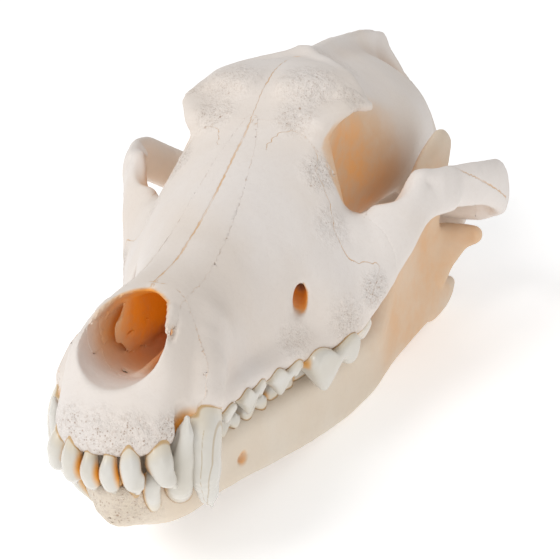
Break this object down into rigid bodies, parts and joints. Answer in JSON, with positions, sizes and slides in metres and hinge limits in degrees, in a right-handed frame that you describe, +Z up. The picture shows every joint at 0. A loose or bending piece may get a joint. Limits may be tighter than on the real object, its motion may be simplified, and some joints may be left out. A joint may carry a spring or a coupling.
{
  "type": "wolf skull",
  "caption": "Wolf skull resting on its closed lower jaw: long snout with an open nose, eye sockets, wide cheek arches, a low crest and full rows of teeth.",
  "frame": {"origin": "middle of the footprint, on the floor the lower jaw rests on", "axes": "+Z up, -Y towards the nose, +X towards the skull's left"},
  "size_m": [0.142, 0.2667, 0.1076],
  "materials": {
    "bone": "dry ivory bone, bleached, faintly pink",
    "jaw_bone": "dry bone, creamier than the cranium",
    "tooth": "cream enamel, yellow-brown at the gum line"
  },
  "bodies": {
    "root": {"incisor_bone": "bone", "upper_jaw": "bone", "nasal_bones": "bone", "braincase": "bone", "cheekbone_left": "bone", "cheekbone_right": "bone", "ear_capsule_left": "bone", "ear_capsule_right": "bone", "lower_jaw_left": "jaw_bone", "lower_jaw_right": "jaw_bone"}
  },
  "joints": []
}
